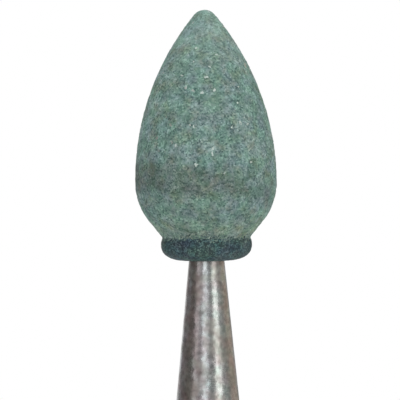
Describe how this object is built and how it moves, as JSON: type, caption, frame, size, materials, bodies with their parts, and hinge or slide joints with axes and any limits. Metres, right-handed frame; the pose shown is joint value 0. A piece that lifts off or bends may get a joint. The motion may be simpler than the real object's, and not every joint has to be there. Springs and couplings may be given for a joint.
{
  "type": "mounted point",
  "caption": "Bud-shaped abrasive grinding head cemented on a slim steel mandrel with a tapered neck, held in the collet of a rotary tool.",
  "frame": {"origin": "centre of the butt end of the shank", "axes": "+Z along the tool axis, from the butt end of the shank to the tip of the abrasive head"},
  "size_m": [0.005, 0.005, 0.0445],
  "materials": {
    "abrasive": "matte, granular",
    "cement": "matte, slightly speckled",
    "steel": "satin, turned"
  },
  "bodies": {
    "root": {"abrasive_head": "abrasive", "cement_collar": "cement", "mandrel": "steel"}
  },
  "joints": []
}
